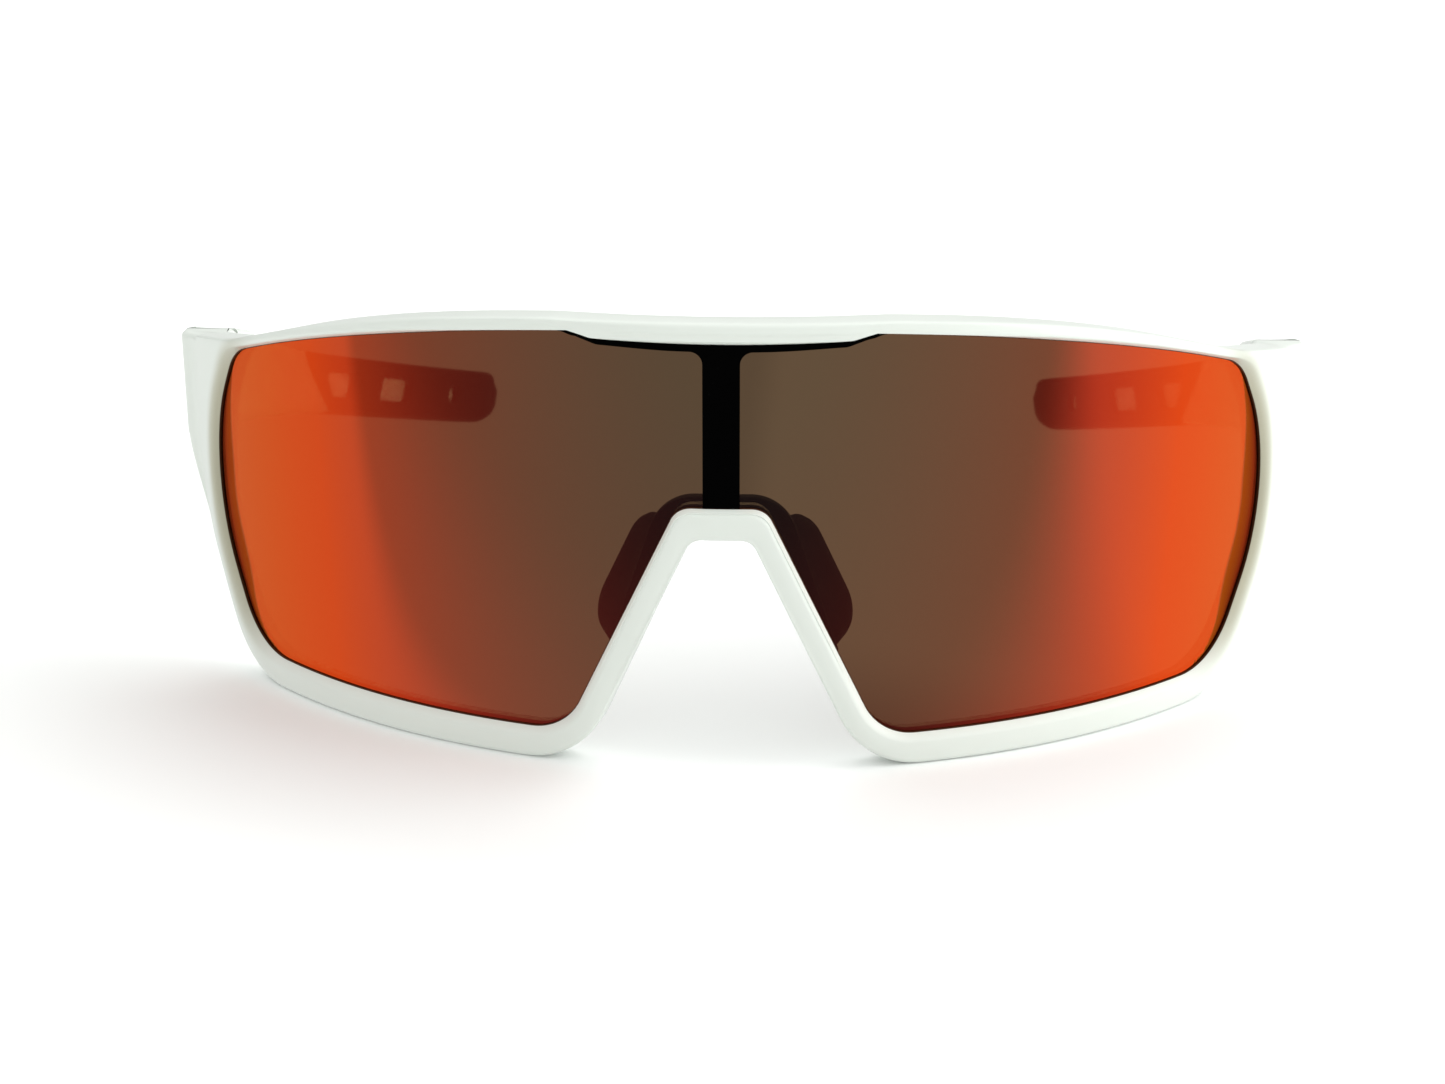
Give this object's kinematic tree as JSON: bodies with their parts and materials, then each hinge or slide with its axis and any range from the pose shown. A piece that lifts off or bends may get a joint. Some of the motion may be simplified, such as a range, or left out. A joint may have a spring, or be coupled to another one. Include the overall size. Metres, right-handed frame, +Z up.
{
  "type": "wraparound sport sunglasses",
  "caption": "Wraparound sport sunglasses: a curved mirrored shield in a full white rim, a soft nose piece and folding temples with rubber ear grips.",
  "frame": {"origin": "under the middle of the whole object, on the surface that the lower rim and the temple tips stand on", "axes": "+X to the wearer's left, -Y out of the front of the shield, +Y along the open temples, +Z up"},
  "size_m": [0.1488, 0.1642, 0.055],
  "materials": {
    "white_frame": "satin-gloss white moulding",
    "mirror_shield": "brown tinted polycarbonate with an orange-red mirror coat",
    "black_strut": "flat black",
    "nose_carrier": "black",
    "soft_rubber": "soft black, finely textured",
    "white_arm": "satin-gloss white moulding",
    "grip_rubber": "soft black, finely textured",
    "spring_steel": "bare strip",
    "screw_steel": "turned",
    "insert_brass": "turned",
    "bush_steel": "turned",
    "washer_steel": "stamped"
  },
  "bodies": {
    "front": {"front_frame": "white_frame", "shield_lens": "mirror_shield", "lens_strut": "black_strut", "nose_bracket": "nose_carrier", "nose_pad_left": "soft_rubber", "nose_pad_right": "soft_rubber", "hinge_screw_left": "screw_steel", "hinge_screw_right": "screw_steel", "hinge_insert_left": "insert_brass", "hinge_insert_right": "insert_brass"},
    "left_temple": {"temple_left": "white_arm", "ear_grip_left": "grip_rubber", "temple_core_left": "spring_steel", "hinge_bush_left": "bush_steel", "hinge_washers_left": "washer_steel"},
    "right_temple": {"temple_right": "white_arm", "ear_grip_right": "grip_rubber", "temple_core_right": "spring_steel", "hinge_bush_right": "bush_steel", "hinge_washers_right": "washer_steel"}
  },
  "joints": [
    {"name": "left_temple_fold", "type": "hinge", "parent": "front", "child": "left_temple", "pos_m": [0.07062, -0.03243, 0.0366], "axis": [0, 0, 1], "range_deg": [0, 92]},
    {"name": "right_temple_fold", "type": "hinge", "parent": "front", "child": "right_temple", "pos_m": [-0.07062, -0.03243, 0.0366], "axis": [0, 0, -1], "range_deg": [0, 80]}
  ]
}
